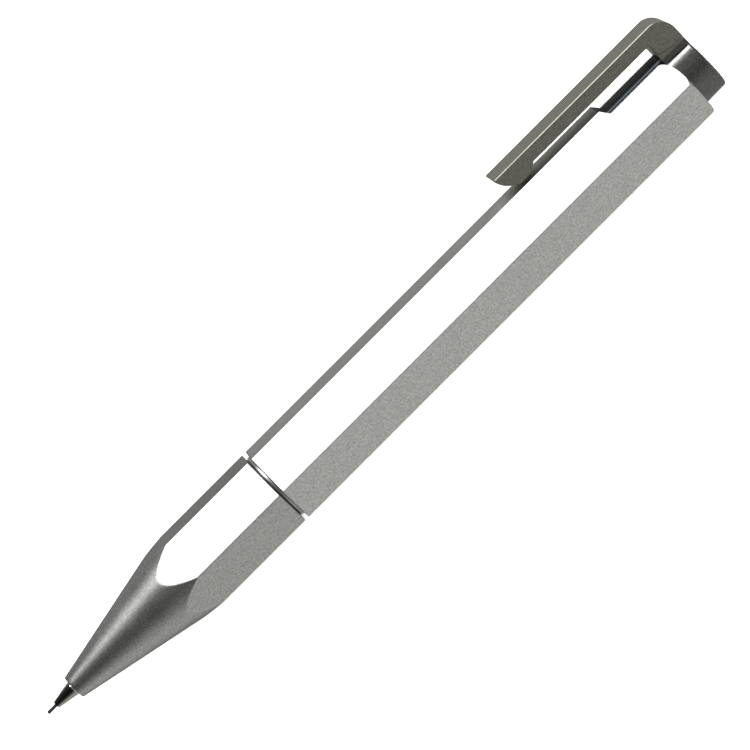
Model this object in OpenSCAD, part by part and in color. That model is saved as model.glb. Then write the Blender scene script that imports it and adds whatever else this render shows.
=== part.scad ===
// Hexagonal click pencil for thin graphite leads.
// The pen lies along X on one flat, with the tip towards -X and the cap towards +X.
// Z = 0 is the surface that it lies on, and X = 0 is the middle of its length.
// Each sub-part is drawn in pen coordinates: Z runs from the lead's tip to the cap, and X and Y
// are across. along_pen() then lays it down.

/* [Outside] */
// Whole length, from the lead's tip to the top of the cap
length = 125; // [122:0.5:130]
// Width of the hexagon across its flats
hex_af = 11.2; // [11:0.1:12]
// How far the cap stands out of the barrel
cap_out = 3.8; // [3.5:0.1:4]
// Radius of the round cap
cap_r = 4.6; // [4.5:0.05:4.65]

/* [Front section] */
// Distance from the lead's tip to the nose's front face
nose_front = 4.9; // [4.6:0.1:5.2]
// Radius of the nose at its front face
nose_r = 1.85; // [1.75:0.05:1.9]
// Half angle of the nose's cone, in degrees
nose_angle = 11.6; // [11.3:0.1:12]
// Distance from the lead's tip to the front edge of the groove
groove_front = 43.1; // [42.6:0.5:45.1]
// Width of the groove
groove_w = 0.6; // [0.5:0.1:1]
// Radius of the polished collar in the groove
collar_r = 5.35; // [5.2:0.05:5.4]

/* [Clip] */
// Length of the clip, from its free end to the cap's top
clip_len = 31.95; // [30.45:0.5:33.95]
// Width of the clip
clip_w = 6.9; // [6.5:0.1:7.2]
// Thickness of the clip's arm
clip_t = 1.95; // [1.65:0.1:2.05]
// Distance from the pen's axis to the clip's outer face
clip_out = 9.1; // [8.95:0.05:9.25]
// Thickness of the web that joins the arm to the cap
web_t = 4.3; // [4.1:0.1:4.7]
// Distance from the pen's axis to the underside of the web, beside its neck
web_low = 4.85; // [4.8:0.05:5]
// Width of the neck between the web and the round cap
neck_w = 5.7; // [5:0.1:6.2]
// Radius of the corner between the arm and the cap's top
clip_corner_r = 2.6; // [2:0.1:3]
// Gap between the clip's foot and the barrel
foot_gap = 0.65; // [0.5:0.05:0.7]
// Width of the slot in the barrel
slot_w = 7.8; // [7.6:0.1:8.1]
// Length of the slot in the barrel
slot_len = 11.55; // [10.95:0.1:12.15]

/* [Mechanism] */
// Travel of the cap when it is pressed
stroke = 3.4; // [3:0.1:3.5]
// Lead fed at each press
feed = 0.6; // [0.4:0.1:0.7]
// Diameter of the lead
lead_d = 0.5; // [0.5:0.1:0.5]
// Length of a whole lead
lead_len = 60; // [58:1:60]
// Number of spare leads
spares = 3; // [1:1:5]
// Number of turns of the return spring
spring_turns = 8; // [6:1:9]

/* [Hidden] */
$fn = 96;

hex_r = hex_af / 2 / cos(30);        // corner radius of the hexagon
clip_angle = 120;                    // direction of the clip, from the flat that the pen lies on
run = 0.05;                          // radial gap of a sliding fit
snug = 0.02;                         // radial gap between two pieces that are fixed together
lead_r = lead_d / 2;

// Stations along the pen
barrel_front = groove_front + groove_w;
barrel_end = length - cap_out;
cap_base = length - web_t;           // lower face of the cap's head and of the web
clip_end = length - clip_len;        // free end of the clip
foot_r = 3.5;                        // radius of the clip's rounded end
foot_x = hex_af / 2 + foot_gap + foot_r;
foot_z = clip_end + sqrt(pow(foot_r, 2) - pow(foot_x - clip_out, 2));
slot_end = barrel_end - slot_len;
bush_z = [groove_front - 6.5, barrel_front + 6.3];   // ends of the joint bush
thread_end = bush_z[1] + 3.2;        // end of the wider bore that takes the bush
head_bore_end = cap_base - stroke - 1.2;
stem_top = cap_base + 2;
stem_end = cap_base - 17.7;
tip_front = 1.56;                    // front edge of the tip's cone
retainer_z = [9.6, 11.6];
taper_z = [7.2, 14];                 // the tip's taper inside the nose
tip_end = 26;
ring_z = [16.6, 19.6];
stop_z = ring_z[0] - feed - 0.04;    // shoulder in the tip that stops the clutch ring
chuck_z = [15.25, 42];
housing_z = [22.2, groove_front + 9.2];
spring_z = [27.4, 36];
socket_z = [36, 48];
damper_z = 32.8;                     // station of the rubber ring on the housing
tube_z = [44, cap_base - 7.7];
holder_z = tube_z[1] + 0.4;          // what the eraser stands on
eraser_end = tube_z[1] + 6;

// Radii of the mechanism
bore_r = 4.1;
tip_neck_r = 1.1;                    // front of the tip's socket, where it fills the nose
tip_r = 2.6;
retainer_r = 1.2;
stem_r = bore_r - run;
stem_wall = 0.35;
tube_r = 2.9;
tube_bore_r = 2.3;
housing_r = 3.6;
housing_bore_r = tube_r + run;
housing_front_r = 1.3;               // opening in the housing's front end
spring_bore_r = 2.4;
spigot_r = 4.55;
sleeve_r = 2.28;
ring_r = 2;
neck_r = 1;                          // the chuck's neck
jaw_r = 1.5;                         // the chuck's jaws
jaw_taper = 1.25;                    // length of the taper behind them
eraser_r = 2.5;
damper_r = 3.48;                     // the rubber ring on the housing
damper_wire = 0.28;

// Lays a piece out of pen coordinates on the surface
module along_pen() {
    translate([-length / 2, 0, hex_af / 2]) rotate([0, 90, 0]) children();
}

// Turns a piece drawn with +X outwards round to the clip's side
module on_clip_side() {
    rotate([0, 0, clip_angle]) children();
}

// Solid of revolution with the outline [[radius, station], ...]
module turned(outline) {
    rotate_extrude() polygon(outline);
}

// Ring or tube between two stations
module ring(z, outer, inner) {
    translate([0, 0, z[0]]) difference() {
        cylinder(h = z[1] - z[0], r = outer);
        translate([0, 0, -1]) cylinder(h = z[1] - z[0] + 2, r = inner);
    }
}

// Hexagonal bar between two stations, with one flat facing +X
module hex_bar(z) {
    translate([0, 0, z[0]]) rotate(30) cylinder(h = z[1] - z[0], r = hex_r, $fn = 6);
}

// ---- Outside ----

// Front section: the hexagon turned down to a cone, with room for the mechanism inside
module nose_section() {
    edge = 0.2;                      // rounding of the front edge
    far_r = hex_r + 1;               // outside the hexagon
    far_z = nose_front + edge + (far_r - nose_r) / tan(nose_angle);
    back_chamfer = 0.12;
    color("silver") along_pen() difference() {
        intersection() {
            hex_bar([nose_front, groove_front]);
            turned([[0, nose_front], [nose_r - edge, nose_front],
                    [nose_r - 0.3 * edge, nose_front + 0.3 * edge], [nose_r, nose_front + edge],
                    [far_r, far_z], [far_r, groove_front - far_r + hex_r - back_chamfer],
                    [hex_r - back_chamfer, groove_front], [0, groove_front]]);
        }
        turned([[0, 0], [tip_neck_r + run, 0], [tip_neck_r + run, taper_z[0]],
                [tip_r + run, taper_z[1]], [tip_r + run, tip_end + 0.5],
                [housing_r + 0.2, tip_end + 0.5], [housing_r + 0.2, bush_z[0] - 0.5],
                [spigot_r + snug, bush_z[0] - 0.5], [spigot_r + snug, groove_front + 1],
                [0, groove_front + 1]]);
    }
}

// Turned bush that joins the front section to the barrel; its collar shows in the groove
module joint_bush() {
    break_edge = 0.1;
    front_bevel = [0.25, 0.35];      // along the pen, and in radius
    color("gainsboro") along_pen() turned([
        [housing_r + snug, bush_z[0]], [spigot_r, bush_z[0]],
        [spigot_r, groove_front], [collar_r - front_bevel[1], groove_front],
        [collar_r, groove_front + front_bevel[0]], [collar_r, barrel_front - break_edge],
        [collar_r - break_edge, barrel_front], [spigot_r, barrel_front],
        [spigot_r, bush_z[1]], [housing_r + snug, bush_z[1]]]);
}

// The slot's outline in plan, cut from the pen's axis outwards; its inner corners are cut, and its
// mouth is flared on the upper side
module clip_slot() {
    corner = [1.05, 0.8];            // size of the cut corners along the pen and across it
    mouth = 1.6;                     // radius of the flared mouth
    half = slot_w / 2;
    past_end = barrel_end + 1;
    on_clip_side() rotate([0, 90, 0]) linear_extrude(height = hex_r + 1) union() {
        polygon([[-past_end, -half], [-past_end, half], [-slot_end - corner[0], half],
                 [-slot_end, half - corner[1]], [-slot_end, corner[1] - half],
                 [-slot_end - corner[0], -half]]);
        difference() {
            translate([-past_end, 0]) square([1 + mouth, half + mouth]);
            translate([mouth - barrel_end, half + mouth]) circle(r = mouth);
        }
    }
}

// Hexagonal tube with a turned end face, open at its cap end for the cap and the clip's web
module barrel() {
    end_r = 6;                       // radius at which the end's turned edge starts
    end_slope = 0.93;                // how fast that edge falls back towards the corners
    front_chamfer = 0.12;
    far_r = hex_r + 1;               // outside the hexagon
    color("silver") along_pen() difference() {
        intersection() {
            hex_bar([barrel_front, barrel_end]);
            turned([[0, barrel_front], [hex_r - front_chamfer, barrel_front],
                    [far_r, barrel_front + far_r - hex_r + front_chamfer],
                    [far_r, barrel_end - (far_r - end_r) * end_slope],
                    [end_r, barrel_end], [0, barrel_end]]);
        }
        turned([[0, barrel_front - 1], [spigot_r + snug, barrel_front - 1],
                [spigot_r + snug, thread_end], [bore_r, thread_end],
                [bore_r, head_bore_end], [cap_r + run, head_bore_end],
                [cap_r + run, barrel_end + 1], [0, barrel_end + 1]]);
        clip_slot();
    }
}

// Side outline of the clip: X is the distance from the pen's axis, Y the station
module clip_outline() {
    arm_in = clip_out - clip_t;
    relief = [0.62, 2.2];            // the web's inner lower corner is cut back by this much
    end_bevel = 0.15;                // bevel of the free end's outer edge
    translate([arm_in, foot_z]) square([clip_t, length - foot_z - clip_corner_r]);
    difference() {
        polygon([[clip_out, cap_base], [web_low + relief[0], cap_base],
                 [web_low, cap_base + relief[1]], [web_low, length], [clip_out, length]]);
        difference() {
            translate([clip_out, length]) square(2 * clip_corner_r, center = true);
            translate([clip_out - clip_corner_r, length - clip_corner_r]) circle(r = clip_corner_r);
        }
    }
    difference() {
        intersection() {
            translate([foot_x, foot_z]) circle(r = foot_r);
            translate([foot_x - foot_r - 1, clip_end - 1])
                square([clip_out - foot_x + foot_r + 1, 2 * foot_r + 2]);
        }
        translate([clip_out, clip_end]) rotate(45) square(end_bevel * sqrt(2), center = true);
    }
}

// Cap, web and clip, milled from one piece
module clip_cap() {
    edge = 0.4;                      // rounding of the cap's top edge
    break_edge = 0.1;                // bevels of the cap's lower edge and of the arm's outer edges
    color("darkgray") along_pen() difference() {
        union() {
            turned(concat([[0, cap_base], [cap_r - break_edge, cap_base],
                           [cap_r, cap_base + break_edge]],
                          [for (a = [0:18:90]) [cap_r - edge + edge * cos(a),
                                                length - edge + edge * sin(a)]],
                          [[0, length]]));
            on_clip_side() translate([0, -neck_w / 2, cap_base]) cube([web_low + 1, neck_w, web_t]);
            on_clip_side() rotate([90, 0, 0])
                linear_extrude(height = clip_w, center = true) clip_outline();
        }
        translate([0, 0, cap_base - 1]) cylinder(h = stem_top - cap_base + 1, r = stem_r + snug);
        for (side = [-1, 1]) on_clip_side()
            translate([clip_out, side * clip_w / 2, clip_end - 1]) rotate(45)
                cube([break_edge * sqrt(2), break_edge * sqrt(2),
                      2 * (clip_len - clip_corner_r + 1)], center = true);
    }
}

// Thin steel tube pressed into the cap; it slides in the barrel's bore
module cap_stem() {
    color("slategray") along_pen() ring([stem_end, stem_top], stem_r, stem_r - stem_wall);
}

// Plastic bush in the stem that grips the lead tube and holds the cap on
module cap_grip() {
    color("dimgray") along_pen()
        ring([stem_end + 1, stem_end + 8], stem_r - stem_wall - snug, tube_r + snug);
}

// ---- Tip ----

// Bright turned tip: a cone in front of the nose, and a socket for the mechanism behind it
module tip_cone() {
    edge = 0.08;
    hole = lead_r + 0.03;
    lip_r = 0.54;                    // radius of the cone's front end
    shank = 0.35;                    // straight part between the cone and the nose
    color("lightsteelblue") along_pen() turned([
        [hole, tip_front], [lip_r - edge, tip_front], [lip_r, tip_front + edge],
        [tip_neck_r, nose_front - shank], [tip_neck_r, taper_z[0]], [tip_r, taper_z[1]],
        [tip_r, tip_end], [sleeve_r + snug, tip_end], [sleeve_r + snug, stop_z],
        [jaw_r + 0.1, stop_z], [jaw_r + 0.1, retainer_z[1]], [retainer_r, retainer_z[1]],
        [retainer_r, retainer_z[0]], [hole, retainer_z[0]]]);
}

// Graphite lead in use
module lead() {
    wear = 0.1;                      // flat worn on the writing end
    color("black") along_pen() turned([[0, 0], [lead_r - wear, 0], [lead_r, wear],
                                       [lead_r, lead_len], [0, lead_len]]);
}

// Rubber plug that holds the lead while the chuck goes back
module lead_retainer() {
    color("maroon") along_pen()
        ring([retainer_z[0] + snug, retainer_z[1] - snug], retainer_r - snug, lead_r + 0.01);
}

// Hardened bush that guides the clutch ring
module clutch_sleeve() {
    color("gray") along_pen() ring([stop_z + snug, housing_z[0] - 0.2], sleeve_r, ring_r + run);
}

// Brass ring that squeezes the jaws; its flare follows the jaws' taper
module clutch_ring() {
    color("goldenrod") along_pen() turned([
        [neck_r + 0.1, ring_z[0] + jaw_taper], [jaw_r + snug, ring_z[0] + 0.05], [jaw_r + snug, ring_z[0]],
        [ring_r - 0.1, ring_z[0]], [ring_r, ring_z[0] + 0.1], [ring_r, ring_z[1] - 0.1],
        [ring_r - 0.1, ring_z[1]], [neck_r + 0.1, ring_z[1]]]);
}

// Brass collet: three jaws on a long neck
module chuck() {
    slit_w = 0.16;
    slit_end = 33;
    color("gold") along_pen() difference() {
        turned([[lead_r + 0.03, chuck_z[0]], [jaw_r - 0.3, chuck_z[0]], [jaw_r, chuck_z[0] + 0.3],
                [jaw_r, ring_z[0]], [neck_r, ring_z[0] + jaw_taper], [neck_r, chuck_z[1]],
                [lead_r + 0.03, chuck_z[1]]]);
        for (a = [0:120:240]) rotate(a)
            translate([0, -slit_w / 2, chuck_z[0] - 1])
                cube([jaw_r + 1, slit_w, slit_end - chuck_z[0] + 1]);
    }
}

// ---- Mechanism ----

// Steel washer under the front end of the spring
module spring_washer() {
    color("lightgray") along_pen()
        ring([spring_z[0] - 0.38, spring_z[0] - snug], spring_bore_r - 0.1, neck_r + 0.2);
}

// Section of the spring's wire at an angle along the coil
function coil_point(t, s, r, wire, z0, pitch) = [
    (r + wire * cos(s)) * cos(t), (r + wire * cos(s)) * sin(t), z0 + pitch * t / 360 + wire * sin(s)];

// Coil spring that pushes the chuck and the cap back
module return_spring() {
    wire = 0.2;
    coil_r = 1.75;
    steps = 24;                      // sections in one turn
    sides = 8;
    count = spring_turns * steps;
    z0 = spring_z[0] + wire + 0.01;
    pitch = (spring_z[1] - spring_z[0] - 2 * wire - 0.02) / spring_turns;
    points = [for (i = [0:count], j = [0:sides - 1])
        coil_point(i * 360 / steps, j * 360 / sides, coil_r, wire, z0, pitch)];
    walls = [for (i = [0:count - 1], j = [0:sides - 1])
        [i * sides + j, i * sides + (j + 1) % sides,
         (i + 1) * sides + (j + 1) % sides, (i + 1) * sides + j]];
    first = [for (j = [sides - 1:-1:0]) j];
    last = [for (j = [0:sides - 1]) count * sides + j];
    color("silver") along_pen() polyhedron(points, concat(walls, [first, last]), convexity = 10);
}

// Tube that holds the spring and guides the lead tube
module mechanism_housing() {
    step_z = 39.5;                   // where the spring's bore widens for the lead tube
    floor_z = spring_z[0] - 0.4;     // what the washer rests on
    color("whitesmoke") along_pen() difference() {
        turned([[housing_front_r, housing_z[0]], [sleeve_r, housing_z[0]], [sleeve_r, tip_end + 0.1],
                [tip_r, tip_end + 0.1], [tip_r, tip_end + 0.7], [housing_r, tip_end + 1.6],
                [housing_r, housing_z[1]], [housing_bore_r, housing_z[1]], [housing_bore_r, step_z],
                [spring_bore_r, step_z], [spring_bore_r, floor_z], [housing_front_r, floor_z]]);
        ring([damper_z - 0.4, damper_z + 0.4], housing_r + 1, damper_r - damper_wire - snug);
    }
}

// Rubber ring that stops the housing rattling in the front section
module housing_ring() {
    color("black") along_pen() translate([0, 0, damper_z])
        rotate_extrude() translate([damper_r, 0]) circle(r = damper_wire);
}

// Ring screwed on the housing's back end, against the bush
module lock_ring() {
    color("darkgray") along_pen()
        ring([bush_z[1] + 2 * snug, housing_z[1] + 0.3], spigot_r - 0.15, housing_r + snug);
}

// Joins the chuck to the lead tube, with a funnel that feeds the next lead
module feed_socket() {
    funnel_z = 42.6;                 // narrow end of the funnel
    color("ivory") along_pen() turned([
        [neck_r + snug, socket_z[0]], [spring_bore_r - 0.1, socket_z[0]], [spring_bore_r - 0.1, tube_z[0]],
        [tube_bore_r - snug, tube_z[0]], [tube_bore_r - snug, socket_z[1]],
        [tube_bore_r - 0.5, socket_z[1]], [lead_r + 0.15, funnel_z], [lead_r + 0.15, chuck_z[1] + snug],
        [neck_r + snug, chuck_z[1] + snug]]);
}

// Magazine for the spare leads
module lead_tube() {
    color("lightgray") along_pen() ring([tube_z[0] + snug, tube_z[1]], tube_r, tube_bore_r);
}

// Spare leads, lying in the magazine
module spare_leads() {
    lie_r = tube_bore_r - lead_r - snug;
    spread = 17;                     // angle between neighbours
    stagger = 0.5;                   // how much further back each one lies
    room = 7.5;                      // length of the magazine that they leave free
    color("black") along_pen() for (i = [0:spares - 1])
        rotate(spread * (i - (spares - 1) / 2)) translate([lie_r, 0, socket_z[1] + 0.8 + stagger * i])
            cylinder(h = min(lead_len, tube_z[1] - socket_z[1] - room), r = lead_r);
}

// Plastic bush in the barrel that keeps the lead tube central
module guide_bush() {
    color("dimgray") along_pen()
        ring([stem_end - stroke - 6.2, stem_end - stroke - 1], bore_r - snug, tube_r + run);
}

// Metal cup that closes the magazine and holds the eraser
module eraser_holder() {
    color("silver") along_pen() turned([
        [0, tube_z[1] - 4], [tube_bore_r - snug, tube_z[1] - 4], [tube_bore_r - snug, tube_z[1] + snug],
        [tube_r, tube_z[1] + snug], [tube_r, tube_z[1] + 3.5], [eraser_r + snug, tube_z[1] + 3.5],
        [eraser_r + snug, holder_z], [0, holder_z]]);
}

// Small round eraser under the cap
module eraser() {
    edge = 0.3;
    color("white") along_pen() turned([
        [0, holder_z + snug], [eraser_r, holder_z + snug], [eraser_r, eraser_end - edge],
        [eraser_r - edge, eraser_end], [0, eraser_end]]);
}

nose_section();
joint_bush();
barrel();
clip_cap();
cap_stem();
cap_grip();
tip_cone();
lead();
lead_retainer();
clutch_sleeve();
clutch_ring();
chuck();
spring_washer();
return_spring();
mechanism_housing();
housing_ring();
lock_ring();
feed_socket();
lead_tube();
spare_leads();
guide_bush();
eraser_holder();
eraser();
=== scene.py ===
import math

import bmesh
import bpy
from mathutils import Matrix, Vector


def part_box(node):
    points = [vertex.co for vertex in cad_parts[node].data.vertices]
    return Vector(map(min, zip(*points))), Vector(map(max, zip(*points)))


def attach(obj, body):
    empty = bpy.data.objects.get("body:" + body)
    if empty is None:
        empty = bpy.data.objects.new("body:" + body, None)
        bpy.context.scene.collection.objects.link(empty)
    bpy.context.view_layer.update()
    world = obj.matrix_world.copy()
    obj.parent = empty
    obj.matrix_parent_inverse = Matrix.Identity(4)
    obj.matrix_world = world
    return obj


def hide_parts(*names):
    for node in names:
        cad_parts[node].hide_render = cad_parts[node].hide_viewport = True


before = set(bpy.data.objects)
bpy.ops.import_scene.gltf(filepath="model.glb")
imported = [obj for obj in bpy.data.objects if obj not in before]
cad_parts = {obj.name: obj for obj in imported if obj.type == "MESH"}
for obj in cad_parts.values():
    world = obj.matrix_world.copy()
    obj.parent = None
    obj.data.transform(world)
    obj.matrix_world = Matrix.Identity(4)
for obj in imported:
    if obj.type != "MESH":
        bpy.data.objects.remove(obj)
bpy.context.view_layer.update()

MM = 0.001

# ---------------------------------------------------------------------------------------------
# Sizes. Everything that the CAD frame holds is read from it; the rest are the finer details that
# only show in the looks, in metres.
# ---------------------------------------------------------------------------------------------
BARREL_LO, BARREL_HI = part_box("barrel")
NOSE_LO, NOSE_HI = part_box("nose_section")
CAP_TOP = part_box("clip_cap")[1].x
TIP_LO, TIP_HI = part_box("tip_cone")
LEAD_LO, LEAD_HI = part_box("lead")
RING_LO, RING_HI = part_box("joint_bush")
STEM_LO, STEM_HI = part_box("cap_stem")

TIP_X = LEAD_LO.x                                # the pen's front end
AXIS_Z = (BARREL_LO.z + BARREL_HI.z) / 2         # height of the pen's axis
FLAT_R = (BARREL_HI.z - BARREL_LO.z) / 2         # axis to a flat
CLIP_TURN = math.radians(60)                     # clip's direction, from straight up towards +Y
CLIP_DIR = Vector((0, math.sin(CLIP_TURN), math.cos(CLIP_TURN)))
CLIP_SIDE = Vector((0, -math.cos(CLIP_TURN), math.sin(CLIP_TURN)))
HALF_CORNER = math.radians(30)                   # from a corner of the hexagon to the next flat

HEX_CORNER = 0.2 * MM                            # rounding of the hexagon's long edges
CREASE = 0.22 * MM                               # rounding where the cone meets the flats
END_EDGE = 0.12 * MM                             # rounding of the two edges beside the groove
NOSE_R = 1.85 * MM
NOSE_SLOPE = math.tan(math.radians(11.6))
CAP_R = 4.6 * MM
BORE_R = 4.1 * MM
SPIGOT_R = 4.55 * MM
TIP_R = 2.6 * MM                                 # the tip's socket, inside the nose
TIP_NECK_R = 1.1 * MM                            # the tip where it fills the nose's mouth
STEM_R = (STEM_HI.z - STEM_LO.z) / 2
RING_R = (RING_HI.z - RING_LO.z) / 2
LEAD_R = (LEAD_HI.z - LEAD_LO.z) / 2
CLIP_START = 93.05                               # the clip's free end, in mm from the lead's tip
SLOT_LEN = 11.55 * MM
WEB = 4.3 * MM                                   # thickness of the clip's web and of the cap's head

RUN = 0.05 * MM                                  # radial gap of a sliding fit
SNUG = 0.02 * MM                                 # radial gap between two fixed pieces
GUARD = 0.03 * MM                                # from an edge to the points that keep its sides flat
NEAR_AXIS = 0.001 * MM                           # closes a solid at the axis


def pen(x, r, angle):
    """Point at station x and radius r; the angle is from straight up towards +Y."""
    return Vector((x, r * math.sin(angle), AXIS_Z + r * math.cos(angle)))


def from_tip(mm):
    """Station of a distance from the lead's tip, in millimetres."""
    return TIP_X + mm * MM


# ---------------------------------------------------------------------------------------------
# Mesh tools
# ---------------------------------------------------------------------------------------------
def new_piece(name, verts, faces, smooth=22):
    """A mesh object; faces that meet at less than the smooth angle shade as one surface."""
    mesh = bpy.data.meshes.new(name)
    mesh.from_pydata([tuple(v) for v in verts], [], faces)
    mesh.validate()
    obj = bpy.data.objects.new(name, mesh)
    bpy.context.scene.collection.objects.link(obj)
    finish_mesh(obj, smooth)
    return obj


def finish_mesh(obj, smooth):
    """Shades smooth, apart from the edges sharper than the angle."""
    mesh = obj.data
    mesh.shade_smooth()
    mesh.set_sharp_from_angle(angle=math.radians(smooth))
    mesh.update()


def skin(name, rings, closed=True, smooth=22):
    """Joins rings of equal length by quads; a closed skin also joins the last ring to the first."""
    count = len(rings[0])
    verts = [v for ring in rings for v in ring]
    faces = []
    for i in range(len(rings) if closed else len(rings) - 1):
        a, b = i * count, (i + 1) % len(rings) * count
        for j in range(count):
            k = (j + 1) % count
            faces.append((a + j, a + k, b + k, b + j))
    if not closed:
        faces.append(tuple(range(count - 1, -1, -1)))
        faces.append(tuple((len(rings) - 1) * count + j for j in range(count)))
    obj = new_piece(name, verts, faces, smooth)
    face_out(obj)
    return obj


def face_out(obj):
    """Turns the faces outwards."""
    bm = bmesh.new()
    bm.from_mesh(obj.data)
    bmesh.ops.recalc_face_normals(bm, faces=bm.faces)
    bm.to_mesh(obj.data)
    bm.free()


def rounded(points, steps=5):
    """Outline from corners (x, r, radius): each corner with a radius becomes an arc, with a guard
    point on each side so that the flat runs between arcs shade flat."""
    out = []
    count = len(points)
    for i, (x, y, radius) in enumerate(points):
        here = Vector((x, y))
        if radius == 0:
            out.append((x, y))
            continue
        before = (Vector(points[i - 1][:2]) - here).normalized()
        after = (Vector(points[(i + 1) % count][:2]) - here).normalized()
        half = before.angle(after) / 2
        reach = radius / math.tan(half)
        centre = here + (before + after).normalized() * (radius / math.sin(half))
        start, end = here + before * reach, here + after * reach
        guard = 0.12 * radius
        out.append(tuple(start + before * guard))
        first, last = start - centre, end - centre
        turn = first.angle_signed(last)
        for k in range(steps + 1):
            arm = Matrix.Rotation(-turn * k / steps, 2) @ first
            out.append(tuple(centre + arm))
        out.append(tuple(end + after * guard))
    return out


def lathe(name, outline, segments=192, smooth=22):
    """Solid of revolution about the pen's axis, from a closed outline of (x, r)."""
    rings = [[pen(x, r, 2 * math.pi * j / segments) for j in range(segments)] for x, r in outline]
    return skin(name, rings, smooth=smooth)


def bend(a, b, c, steps=4):
    """Points of a soft turn from a to c, pulled towards b."""
    return [(1 - t) ** 2 * a + 2 * t * (1 - t) * b + t * t * c
            for t in (k / steps for k in range(steps + 1))]


def apply_modifiers(obj, smooth=22):
    """Bakes the modifiers into the mesh."""
    graph = bpy.context.evaluated_depsgraph_get()
    mesh = bpy.data.meshes.new_from_object(obj.evaluated_get(graph))
    old = obj.data
    obj.modifiers.clear()
    obj.data = mesh
    bpy.data.meshes.remove(old)
    finish_mesh(obj, smooth)


def combine(obj, other, operation):
    """Exact boolean of two closed meshes; the second one is used up."""
    cut = obj.modifiers.new("cut", "BOOLEAN")
    cut.operation, cut.solver, cut.object = operation, "EXACT", other
    apply_modifiers(obj)
    bpy.data.objects.remove(other)


def bevel(obj, width, segments, angle):
    """Bevels every edge sharper than the angle."""
    edge = obj.modifiers.new("edge", "BEVEL")
    edge.width, edge.segments = width, segments
    edge.limit_method, edge.angle_limit = "ANGLE", math.radians(angle)
    edge.miter_outer = "MITER_ARC"
    edge.use_clamp_overlap = False
    apply_modifiers(obj)


# ---------------------------------------------------------------------------------------------
# The hexagon
# ---------------------------------------------------------------------------------------------
def corner_centre():
    """Distance from the axis to the centre of a corner's rounding."""
    return (FLAT_R - HEX_CORNER) / math.cos(HALF_CORNER)


def arc_end():
    """Angle from a corner of the hexagon at which its rounding meets the flat."""
    return math.atan2(HEX_CORNER / 2, corner_centre() + HEX_CORNER * math.cos(HALF_CORNER))


def hex_angles():
    """Directions that sample the hexagon: fine in its rounded corners, wider along its flats."""
    past_arc = 1.12                              # a guard direction, just past the rounding
    one_side = [arc_end() * part for part in (0, 0.25, 0.5, 0.75, 1, past_arc)]
    one_side += [math.radians(a) for a in (3, 5, 7, 9, 12, 15, 18, 21, 24, 27)]
    offsets = [-a for a in reversed(one_side[1:])] + one_side
    angles = []
    for corner in range(6):
        angles += [math.radians(30 + 60 * corner) + a for a in offsets]
        angles.append(math.radians(60 + 60 * corner))
    return angles


def hex_radius(angle):
    """Radius of the rounded hexagon in a direction."""
    off = (angle + HALF_CORNER) % (2 * HALF_CORNER) - HALF_CORNER
    from_corner = HALF_CORNER - abs(off)
    if from_corner >= arc_end():
        return FLAT_R / math.cos(off)
    far = corner_centre()
    return far * math.cos(from_corner) + math.sqrt(HEX_CORNER ** 2 - (far * math.sin(from_corner)) ** 2)


def soft_end(x, r, into):
    """Points (x, r) round the edge of an end face, from the side to the face; into is +1 or -1,
    the direction into the piece."""
    middle = 0.35 * END_EDGE
    return [Vector((x + into * (END_EDGE + GUARD), r)), Vector((x + into * END_EDGE, r)),
            Vector((x + into * middle, r - middle)),
            Vector((x, r - END_EDGE)), Vector((x, r - END_EDGE - GUARD))]


def round_ring(x, r):
    """Circle that follows the hexagon's directions."""
    return [pen(x, r, a) for a in hex_angles()]


def hex_rings(outline):
    """Rings through the outlines that a function gives for each of the hexagon's directions."""
    angles = hex_angles()
    lines = [outline(a) for a in angles]
    return [[pen(point.x, point.y, a) for point, a in zip(level, angles)] for level in zip(*lines)]


# ---------------------------------------------------------------------------------------------
# Pieces
# ---------------------------------------------------------------------------------------------
def place(obj, body, node, slot, material):
    """Hands a piece to the frame in place of its CAD node, with its material."""
    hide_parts(node)
    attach(obj, body)
    obj.data.materials.clear()
    obj.data.materials.append(material)


def make_nose(material):
    """Front section: cone, soft crease and hexagon."""
    front, back = NOSE_LO.x, NOSE_HI.x
    edge = 0.2 * MM                              # rounding of the front edge
    cone_tilt = 12                               # degrees at which that rounding runs into the cone
    cone_start = front + edge
    housing_bore = 3.8 * MM
    housing_x, socket_x = back - 7 * MM, from_tip(26.5)
    taper_x = from_tip(7.2), from_tip(14)

    def outer_line(a):
        """Points (x, r) in one direction: the cone, the crease, the flat and the back edge."""
        wide = hex_radius(a)
        corner = Vector((cone_start + (wide - NOSE_R) / NOSE_SLOPE, wide))
        cone_dir = Vector((1, NOSE_SLOPE)).normalized()
        start, end = corner - cone_dir * CREASE, corner + Vector((CREASE, 0))
        line = [Vector((cone_start, NOSE_R)).lerp(start, t) for t in (0.02, 0.25, 0.5, 0.75, 0.98)]
        line += bend(start, corner, end)
        line.append(end + Vector((GUARD, 0)))
        return line + soft_end(back, wide, -1)

    rings = [round_ring(front, TIP_NECK_R + RUN), round_ring(front, NOSE_R - edge - GUARD)]
    steps = 5
    for k in range(steps + 1):
        turn = math.radians(90 - (90 - cone_tilt) * k / steps)
        rings.append(round_ring(front + edge * (1 - math.sin(turn)), NOSE_R - edge * (1 - math.cos(turn))))
    rings += hex_rings(outer_line)
    inside = [(back, SPIGOT_R + RUN), (back - RUN, SPIGOT_R + SNUG), (housing_x, SPIGOT_R + SNUG),
              (housing_x, housing_bore), (socket_x, housing_bore), (socket_x, TIP_R + RUN),
              (taper_x[1], TIP_R + RUN), (taper_x[0], TIP_NECK_R + RUN)]
    rings += [round_ring(x, r) for x, r in inside]
    obj = skin("front_section", rings, smooth=9)
    place(obj, "barrel", "nose_section", "satin_aluminium", material)


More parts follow.
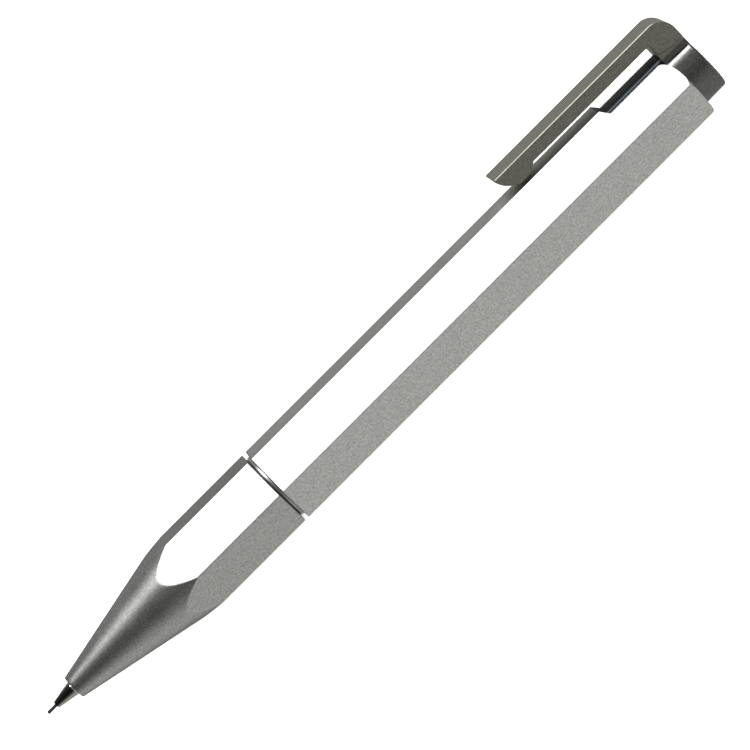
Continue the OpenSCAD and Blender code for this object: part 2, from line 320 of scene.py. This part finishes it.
def slot_cutter():
    """Solid of the slot under the clip: cut inner corners, and a mouth flared on the upper side."""
    half, mouth = 3.9 * MM, 1.6 * MM
    cut_along, cut_across = 1.05 * MM, 0.8 * MM  # size of the cut corners
    end = BARREL_HI.x
    start, past_end = end - SLOT_LEN, end + 1 * MM
    depth = 0.05 * MM, 8 * MM
    flare = [math.radians(a) for a in range(90, -1, -9)]
    plan = [(past_end, half + mouth)]
    plan += [(end - mouth * (1 - math.sin(t)), half + mouth * (1 - math.cos(t))) for t in flare]
    plan += [(start + cut_along, half), (start, half - cut_across)]
    plan += [(start, cut_across - half), (start + cut_along, -half), (past_end, -half)]
    axis = Vector((0, 0, AXIS_Z))
    rings = [[axis + Vector((x, 0, 0)) + CLIP_SIDE * y + CLIP_DIR * h for x, y in plan] for h in depth]
    return skin("slot_cutter", rings, closed=False)


def make_barrel(material):
    """Hexagonal tube with a turned end face, and the clip's slot."""
    front, back = BARREL_LO.x, BARREL_HI.x
    end_r, end_slope = 6.0 * MM, 0.93            # where the turned edge starts, and how fast it falls back
    soft = 0.06 * MM                             # rounding between that edge and the flats
    end_face_r = 5.3 * MM                        # keeps the end face flat around the bore
    bore_bevel = 0.07 * MM
    thread_end = front + 9.5 * MM
    travel, spare = 3.4 * MM, 1.2 * MM           # room for the cap's head in the wider bore
    step = CAP_TOP - WEB - travel - spare

    def outer_line(a):
        """Points (x, r) in one direction: the front edge, the flat and the turned end."""
        wide = hex_radius(a)
        corner = Vector((back - max(0, wide - end_r) * end_slope, wide))
        down = Vector((end_slope if wide > end_r else 0, -1)).normalized()
        line = soft_end(front, wide, 1)[::-1]
        line.append(corner - Vector((soft + GUARD, 0)))
        line += bend(corner - Vector((soft, 0)), corner, corner + down * soft, 3)
        line.append(corner + down * (soft + GUARD))
        line.append(Vector((back, min(wide, end_r) - soft - 2 * GUARD)))
        return line

    rings = [round_ring(front, SPIGOT_R + RUN)] + hex_rings(outer_line)
    inside = [(back, end_face_r), (back, CAP_R + RUN + bore_bevel), (back - bore_bevel, CAP_R + RUN),
              (step, CAP_R + RUN), (step, BORE_R), (thread_end, BORE_R),
              (thread_end, SPIGOT_R + SNUG), (front + GUARD, SPIGOT_R + SNUG)]
    rings += [round_ring(x, r) for x, r in inside]
    obj = skin("hex_barrel", rings)
    combine(obj, slot_cutter(), "DIFFERENCE")
    bevel(obj, 0.05 * MM, 2, 40)
    finish_mesh(obj, 12)
    place(obj, "barrel", "barrel", "satin_aluminium", material)


def slab(name, outline, half):
    """Extrudes an outline of (station, distance from the axis) across the clip."""
    axis = Vector((0, 0, AXIS_Z))
    rings = [[axis + Vector((x, 0, 0)) + CLIP_DIR * h + CLIP_SIDE * y for x, h in outline]
             for y in (-half, half)]
    return skin(name, rings, closed=False)


def clip_outline():
    """Side of the clip and its web: the foot, the web's inner corner and the rounded outer corner."""
    base = CAP_TOP - WEB
    out, arm_in = 9.1 * MM, 7.15 * MM            # outer and inner face of the arm
    foot_r = 3.5 * MM
    foot_h = FLAT_R + 0.65 * MM + foot_r         # height of the foot's centre
    foot_x = from_tip(CLIP_START) + math.sqrt(foot_r ** 2 - (foot_h - out) ** 2)
    end_bevel = 0.15 * MM
    web_low, corner = 4.85 * MM, 2.6 * MM
    relief_h, relief_x = 0.62 * MM, 2.2 * MM     # the slanted cut under the web

    start, end = math.asin((foot_h - out) / foot_r), math.asin((foot_h - arm_in) / foot_r)
    first, last = start + end_bevel / foot_r, math.pi - end
    steps = 20
    sweep = [first + (last - first) * k / steps for k in range(steps + 1)]
    outline = [(foot_x - foot_r * math.cos(start) + end_bevel, out)]
    outline += [(foot_x - foot_r * math.cos(t), foot_h - foot_r * math.sin(t)) for t in sweep]
    outline += [(base, arm_in), (base, web_low + relief_h), (base + relief_x, web_low), (CAP_TOP, web_low)]
    turn = [math.radians(a) for a in range(0, 91, 6)]
    outline += [(CAP_TOP - corner * (1 - math.cos(t)), out - corner * (1 - math.sin(t))) for t in turn]
    return outline


def make_clip_cap(material):
    """Cap, neck, web and clip in one piece."""
    base = CAP_TOP - WEB
    head_top = CAP_TOP - 0.006 * MM              # lower than the web's, for a clean boolean
    neck_top = CAP_TOP - 0.012 * MM
    neck_low, neck_high = 0.3 * MM, 5.85 * MM
    socket_x = base - 1 * MM, base + 2 * MM
    clip_half, neck_half = 3.45 * MM, 2.85 * MM
    obj = slab("cap_and_clip", clip_outline(), clip_half)
    bevel(obj, 0.1 * MM, 1, 50)
    neck = slab("neck", [(base, neck_low), (base, neck_high), (neck_top, neck_high),
                         (neck_top, neck_low)], neck_half)
    combine(obj, neck, "UNION")
    head = lathe("head", rounded([
        (base, NEAR_AXIS, 0), (base, CAP_R, 0.15 * MM), (head_top, CAP_R, 0.4 * MM),
        (head_top, NEAR_AXIS, 0)]), 256)
    combine(obj, head, "UNION")
    socket = lathe("socket", [(socket_x[0], NEAR_AXIS), (socket_x[0], STEM_R + SNUG),
                              (socket_x[1], STEM_R + SNUG), (socket_x[1], NEAR_AXIS)], 128)
    combine(obj, socket, "DIFFERENCE")
    finish_mesh(obj, 14)
    place(obj, "cap", "clip_cap", "clip_aluminium", material)


def make_ring(material):
    """Polished collar in the groove, with the spigots on both sides of it."""
    lo, hi = NOSE_HI.x, BARREL_LO.x
    inner_r = 3.62 * MM
    slope_x, slope_r = 0.25 * MM, 0.38 * MM      # the collar's front edge slopes
    edge = 0.05 * MM
    obj = lathe("groove_ring", rounded([
        (RING_LO.x, inner_r, 0), (RING_LO.x, SPIGOT_R, 2 * edge), (lo, SPIGOT_R, 0),
        (lo, RING_R - slope_r, edge), (lo + slope_x, RING_R, edge),
        (hi, RING_R, 0.08 * MM), (hi, SPIGOT_R, 0),
        (RING_HI.x, SPIGOT_R, 2 * edge), (RING_HI.x, inner_r, 0)]))
    place(obj, "barrel", "joint_bush", "polished_ring", material)


def make_tip(material):
    """Bright turned tip: the cone with its short shank, and the socket inside the nose."""
    front, mouth = TIP_LO.x, NOSE_LO.x
    hole = LEAD_R + 0.03 * MM
    hole_bevel = 0.05 * MM
    lip_r, shank = 0.54 * MM, 0.22 * MM
    sleeve_r, jaw_r, retainer_r = 2.3 * MM, 1.6 * MM, 1.2 * MM
    stop_x = from_tip(15.96)
    retainer_x = from_tip(9.6), from_tip(11.6)
    obj = lathe("tip", rounded([
        (front + 2 * hole_bevel, hole, 0), (front, hole + hole_bevel, 0), (front, lip_r, 0.07 * MM),
        (mouth - shank, TIP_NECK_R, 0.6 * MM), (from_tip(7.2), TIP_NECK_R, 0), (from_tip(14), TIP_R, 0),
        (TIP_HI.x, TIP_R, 0.1 * MM), (TIP_HI.x, sleeve_r, 0), (stop_x, sleeve_r, 0),
        (stop_x, jaw_r, 0), (retainer_x[1], jaw_r, 0), (retainer_x[1], retainer_r, 0),
        (retainer_x[0], retainer_r, 0), (retainer_x[0], hole, 0)]), 128)
    place(obj, "barrel", "tip_cone", "tip_chrome", material)


def make_lead(material):
    """Lead with a slightly worn writing end."""
    front = LEAD_LO.x
    worn = ((0.02, 0.05), (0.06, 0.015), (0.12, 0))      # (station, loss of radius), in mm
    outline = [(front, NEAR_AXIS), (front, LEAD_R - 0.1 * MM)]
    outline += [(front + x * MM, LEAD_R - loss * MM) for x, loss in worn]
    outline += [(LEAD_HI.x, LEAD_R), (LEAD_HI.x, NEAR_AXIS)]
    obj = lathe("lead_in_use", outline, 48, smooth=40)
    place(obj, "lead", "lead", "graphite", material)


def make_stem(material):
    """Thin steel tube that shows in the barrel's slot."""
    inner_r = STEM_R - 0.35 * MM
    edge = 0.05 * MM
    obj = lathe("stem_tube", rounded([
        (STEM_LO.x, inner_r, edge), (STEM_LO.x, STEM_R, 2 * edge),
        (STEM_HI.x, STEM_R, edge), (STEM_HI.x, inner_r, edge)]))
    place(obj, "cap", "cap_stem", "stem_steel", material)


# ---------------------------------------------------------------------------------------------
# Materials
# ---------------------------------------------------------------------------------------------
class Nodes:
    """Short calls for building a node tree."""

    def __init__(self, tree):
        self.tree = tree

    def add(self, kind, **inputs):
        """A node, with its inputs by name."""
        node = self.tree.nodes.new(kind)
        for key, value in inputs.items():
            self.put(node.inputs[key.replace("_", " ")], value)
        return node

    def put(self, socket, value):
        """Links a socket to another, or sets its value; three numbers for four are a colour."""
        if isinstance(value, bpy.types.NodeSocket):
            self.tree.links.new(value, socket)
        elif socket.type == "RGBA" and len(value) == 3:
            socket.default_value = (*value, 1)
        else:
            socket.default_value = value

    def span(self, value, low, high, out_low, out_high, kind="LINEAR"):
        """Maps one range of values to another."""
        node = self.tree.nodes.new("ShaderNodeMapRange")
        node.interpolation_type = kind
        for socket, v in zip(node.inputs, (value, low, high, out_low, out_high)):
            self.put(socket, v)
        return node.outputs["Result"]

    def maths(self, operation, a, b):
        node = self.tree.nodes.new("ShaderNodeMath")
        node.operation = operation
        self.put(node.inputs[0], a)
        self.put(node.inputs[1], b)
        return node.outputs[0]

    def blend(self, factor, low, high, kind="MIX"):
        """Mixes two colours."""
        node = self.tree.nodes.new("ShaderNodeMix")
        node.data_type, node.blend_type = "RGBA", kind
        self.put(node.inputs[0], factor)
        self.put(node.inputs[6], low)
        self.put(node.inputs[7], high)
        return node.outputs[2]


class Surface(Nodes):
    """Node tree of a new material. Noise scales are per metre, and bump heights in metres."""

    def __init__(self, name):
        self.mat = bpy.data.materials.new(name)
        self.mat.use_nodes = True
        super().__init__(self.mat.node_tree)
        self.shader = self.tree.nodes["Principled BSDF"]
        self.place = self.tree.nodes.new("ShaderNodeTexCoord").outputs["Object"]

    def noise(self, scale, detail=2.0, rough=0.5, where=None):
        node = self.add("ShaderNodeTexNoise", Vector=where or self.place, Scale=scale,
                        Detail=detail, Roughness=rough)
        return node.outputs["Fac"]

    def streaks(self, x, y, z, detail=2.0):
        """Noise drawn out differently along each axis."""
        where = self.add("ShaderNodeMapping", Vector=self.place, Scale=(x, y, z)).outputs["Vector"]
        return self.noise(1, detail, 0.6, where)

    def mottle(self, noise, low=0.0, high=1.0):
        """Spreads the middle of a noise over a range."""
        return self.span(noise, 0.3, 0.7, low, high)

    def bump(self, height, strength, distance, under=None):
        node = self.add("ShaderNodeBump", Height=height, Strength=strength, Distance=distance)
        if under is not None:
            self.put(node.inputs["Normal"], under)
        return node.outputs["Normal"]

    def grain(self, pits, strength):
        """Surface of blasted metal: fine grain over pits."""
        fine = self.noise(9000, 2.0, 0.6)
        return self.bump(fine, strength, 0.00002, self.bump(pits, strength, 0.00003))

    def finish(self, **sockets):
        for key, value in sockets.items():
            self.put(self.shader.inputs[key.replace("_", " ")], value)
        return self.mat


def shade(tone, factor):
    """Lighter or darker tone."""
    return [min(1, c * factor) for c in tone]


def blasted_metal(name, tone, rough):
    """Bead-blasted, anodised aluminium: fine pits, mottled tone and cloudy gloss."""
    n = Surface(name)
    pits = n.noise(3600, 3.0, 0.65)
    cloud = n.noise(160, 3.0, 0.55)
    n.shader.inputs["Specular Tint"].default_value = (0.25, 0.25, 0.25, 1)
    return n.finish(Base_Color=n.blend(n.mottle(pits), shade(tone, 0.7), shade(tone, 1.25)), Metallic=1.0,
                    Roughness=n.mottle(cloud, rough - 0.02, rough + 0.03), Normal=n.grain(pits, 0.12))


def clip_metal(name):
    """Clip and cap in one piece: blasted clip, and a darker, glossier turned cap. Where the tone changes,
    it also paints a highlight along the top of the neck.
    """
    head_tone, clip_tone = (0.2, 0.2, 0.202), (0.465, 0.45, 0.405)
    head_rough, clip_rough = 0.27, 0.45
    n = Surface(name)
    pits = n.noise(3000, 3.0, 0.65)
    centred = n.add("ShaderNodeMapping", Vector=n.place, Location=(0, 0, -AXIS_Z), Scale=(0, 1, 1))
    far = n.tree.nodes.new("ShaderNodeVectorMath")
    far.operation = "LENGTH"
    n.put(far.inputs[0], centred.outputs["Vector"])
    # The cap's tone gives way to the clip's between 5.15 and 5.35 mm from the axis. This also lightens the
    # neck's top band under the web: a painted highlight on the neck's upper edge, on top of the real
    # change of finish.
    clip = n.span(far.outputs["Value"], 5.15 * MM, 5.35 * MM, 0.0, 1.0)
    rough = n.maths("ADD", n.span(clip, 0, 1, head_rough, clip_rough), n.mottle(pits, -0.02, 0.02))
    specks = n.blend(n.mottle(pits), (0.7, 0.69, 0.68), (1.22, 1.2, 1.18))
    colour = n.blend(1.0, n.blend(clip, head_tone, clip_tone), specks, "MULTIPLY")
    n.shader.inputs["Specular Tint"].default_value = (0.75, 0.75, 0.75, 1)
    normal = n.bump(n.streaks(14000, 120, 120), 0.05, 0.00001, n.grain(pits, 0.18))
    return n.finish(Base_Color=colour, Metallic=1.0, Roughness=rough, Normal=normal)


def turned_metal(name, tone, rough, lines=0.12):
    """Turned metal: fine tool lines round the axis, and a faintly clouded tone."""
    n = Surface(name)
    grooves = n.streaks(14000, 120, 120)
    return n.finish(Base_Color=n.blend(n.mottle(n.noise(400)), shade(tone, 0.95), tone), Metallic=1.0,
                    Roughness=n.mottle(grooves, rough * 0.8, rough * 1.25),
                    Normal=n.bump(grooves, lines, 0.00001))


def moulded(name, tone, rough, grain_scale=1500):
    """Moulded plastic or rubber with a fine matt skin."""
    n = Surface(name)
    grain = n.noise(grain_scale, 3.0, 0.6)
    return n.finish(Base_Color=n.blend(n.mottle(n.noise(300)), shade(tone, 0.9), tone),
                    Roughness=n.mottle(grain, rough - 0.06, rough + 0.06),
                    Normal=n.bump(grain, 0.15, 0.00003))


def graphite(name):
    """Lead: black, with the soft sheen of graphite and fine drawing lines along it."""
    n = Surface(name)
    along = n.streaks(600, 9000, 9000, 3.0)
    colour = n.blend(n.span(along, 0.35, 0.7, 0.0, 1.0), (0.008, 0.008, 0.009), (0.03, 0.03, 0.032))
    return n.finish(Base_Color=colour, Metallic=0.4, Specular_IOR_Level=0.2,
                    Roughness=n.mottle(along, 0.36, 0.5), Normal=n.bump(along, 0.2, 0.00002))


def wire_metal(name, tone, rough):
    """Drawn wire or plain turned steel inside the pen."""
    n = Surface(name)
    streak = n.streaks(3000, 3000, 9000)
    return n.finish(Base_Color=n.blend(streak, shade(tone, 0.9), tone), Metallic=1.0,
                    Roughness=n.mottle(streak, rough - 0.04, rough + 0.06),
                    Normal=n.bump(streak, 0.1, 0.00001))


def dress_nodes(material, *names):
    """Gives CAD nodes that stay their material."""
    for name in names:
        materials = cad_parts[name].data.materials
        if not materials:
            materials.append(material)
        for i in range(len(materials)):
            materials[i] = material


# ---------------------------------------------------------------------------------------------
# Camera, light and floor
# ---------------------------------------------------------------------------------------------
def make_camera():
    """Looks down on the pen from the side away from the clip, rolled so that it lies at 45 degrees."""
    lean = math.radians(18.1)
    back = Vector((0, -math.sin(lean), math.cos(lean)))
    across = Vector((0, math.cos(lean), math.sin(lean)))
    along = Vector((1, 0, 0))
    right, up = (along - across).normalized(), (along + across).normalized()
    distance = 0.75
    width = 0.1013                               # what the frame spans at the pen
    look = Vector((1.02 * MM, 0, AXIS_Z)) + across * 1.08 * MM
    data = bpy.data.cameras.new("camera")
    data.lens = data.sensor_width * distance / width
    data.clip_start, data.clip_end = 0.01, 10
    cam = bpy.data.objects.new("camera", data)
    turn = Matrix((right, up, back)).transposed().to_4x4()
    cam.matrix_world = Matrix.Translation(look + back * distance) @ turn
    bpy.context.scene.collection.objects.link(cam)
    bpy.context.scene.camera = cam


def room_light(n, height, stops):
    """Brightness of the room from below (0) to overhead (1)."""
    warmth = (0.985, 1, 0.96)
    ramp = n.tree.nodes.new("ShaderNodeValToRGB")
    while len(ramp.color_ramp.elements) < len(stops):
        ramp.color_ramp.elements.new(0.5)
    for element, (at, level) in zip(ramp.color_ramp.elements, stops):
        element.position = at
        element.color = (*[level * c for c in warmth], 1)
    n.put(ramp.inputs["Fac"], height)
    return ramp.outputs["Color"]


def make_world():
    """Bright even surroundings for matt surfaces; a darker room, paler low down, in reflections."""
    tilt = 0.35                                  # how much the room's height leans towards +Y
    world = bpy.data.worlds.new("studio")
    bpy.context.scene.world = world
    world.use_nodes = True
    world.cycles.sampling_method = "NONE"
    world.node_tree.nodes.clear()
    n = Nodes(world.node_tree)
    place = n.tree.nodes.new("ShaderNodeTexCoord").outputs["Generated"]
    way = n.add("ShaderNodeSeparateXYZ", Vector=place).outputs
    lean = n.maths("ADD", n.maths("MULTIPLY", way["Y"], tilt), way["Z"])
    height = n.span(lean, -1.06, 1.06, 0, 1)
    behind_tip = room_light(n, height, ((0, 0.42), (0.22, 0.45), (0.3, 0.4), (0.44, 0.22), (0.6, 0.06),
                                        (0.72, 0.01), (1, 0)))
    elsewhere = room_light(n, height, ((0, 0.5), (0.28, 0.5), (0.5, 0.44), (0.78, 0.235),
                                       (0.88, 0.22), (1, 0.42)))
    room_tone = n.blend(n.span(way["X"], -0.45, 0, 0, 1, "SMOOTHSTEP"), behind_tip, elsewhere)
    pale = n.add("ShaderNodeBackground", Color=(1, 1, 1), Strength=2.8)
    room = n.add("ShaderNodeBackground", Color=room_tone)
    mix = n.tree.nodes.new("ShaderNodeMixShader")
    n.put(mix.inputs["Fac"], n.tree.nodes.new("ShaderNodeLightPath").outputs["Is Glossy Ray"])
    n.put(mix.inputs[1], pale.outputs[0])
    n.put(mix.inputs[2], room.outputs[0])
    n.add("ShaderNodeOutputWorld", Surface=mix.outputs[0])


def make_floor():
    """White paper, wide enough for any view; the metal doesn't reflect it."""
    size = 3.0
    floor = new_piece("floor", [(-size, -size, 0), (size, -size, 0), (size, size, 0), (-size, size, 0)],
                      [(0, 1, 2, 3)])
    n = Surface("pale_floor")
    paper = n.mottle(n.noise(900, 3.0, 0.6))
    colour = n.blend(paper, (0.93, 0.93, 0.925), (0.95, 0.95, 0.945))
    floor.data.materials.append(n.finish(Base_Color=colour, Roughness=0.9, Specular_IOR_Level=0.0))
    floor.visible_glossy = False


def softbox(name, turn, x, size, radiance, spared):
    """Soft light at an angle from straight up towards +Y; it doesn't light the spared objects."""
    turn, reach = math.radians(turn), 0.5
    at = Vector((x, reach * math.sin(turn), reach * math.cos(turn)))
    data = bpy.data.lights.new(name, "AREA")
    data.shape = "RECTANGLE"
    data.size, data.size_y = size
    data.energy = radiance * math.pi * size[0] * size[1]
    lamp = bpy.data.objects.new(name, data)
    side = Vector((1, 0, 0))
    back = (at - Vector((x, 0, AXIS_Z))).normalized()
    up = back.cross(side).normalized()
    lamp.matrix_world = Matrix.Translation(at) @ Matrix((side, up, back)).transposed().to_4x4()
    bpy.context.scene.collection.objects.link(lamp)
    unlit = bpy.data.collections.new("not_lit_by_" + name)
    for obj in spared:
        unlit.objects.link(bpy.data.objects[obj])
    for link in unlit.collection_objects:
        link.light_linking.link_state = "EXCLUDE"
    lamp.light_linking.receiver_collection = unlit


def make_lights():
    """A wide lamp for the matt metal and a strip for the cap; the paper is lit by the room alone."""
    softbox("key", 34, -0.01, (0.28, 0.17), 11, ("floor", "cap_and_clip"))
    softbox("strip", 47, 0.1, (0.2, 0.07), 17, ("floor",))


def make_outside():
    """The pieces that show, in place of their CAD nodes."""
    make_nose(blasted_metal("satin_nose", (0.64, 0.64, 0.63), 0.36))
    make_barrel(blasted_metal("satin_aluminium", (0.78, 0.78, 0.77), 0.4))
    make_clip_cap(clip_metal("clip_aluminium"))
    make_ring(turned_metal("polished_ring", (0.5, 0.5, 0.5), 0.34, 0.05))
    make_tip(turned_metal("tip_chrome", (0.6, 0.585, 0.545), 0.09))
    make_lead(graphite("graphite"))
    make_stem(turned_metal("stem_steel", (0.1, 0.135, 0.19), 0.25, 0.08))


def dress_inside():
    """Materials of the CAD nodes inside the pen, which stay."""
    dress_nodes(moulded("plastic_white", (0.8, 0.8, 0.77), 0.42),
                "mechanism_housing", "feed_socket", "lead_tube")
    dress_nodes(moulded("plastic_dark", (0.05, 0.05, 0.055), 0.5), "cap_grip", "guide_bush")
    dress_nodes(moulded("rubber", (0.03, 0.03, 0.03), 0.75), "lead_retainer", "housing_ring")
    dress_nodes(moulded("eraser_rubber", (0.9, 0.9, 0.88), 0.7, 900), "eraser")
    dress_nodes(wire_metal("steel", (0.6, 0.6, 0.62), 0.26),
                "clutch_sleeve", "spring_washer", "return_spring", "lock_ring", "eraser_holder")
    dress_nodes(turned_metal("brass", (0.78, 0.57, 0.26), 0.24), "clutch_ring", "chuck")
    dress_nodes(bpy.data.materials["graphite"], "spare_leads")


make_camera()
make_world()
make_floor()
make_outside()
dress_inside()
make_lights()

bpy.context.scene.view_settings.view_transform = "Standard"
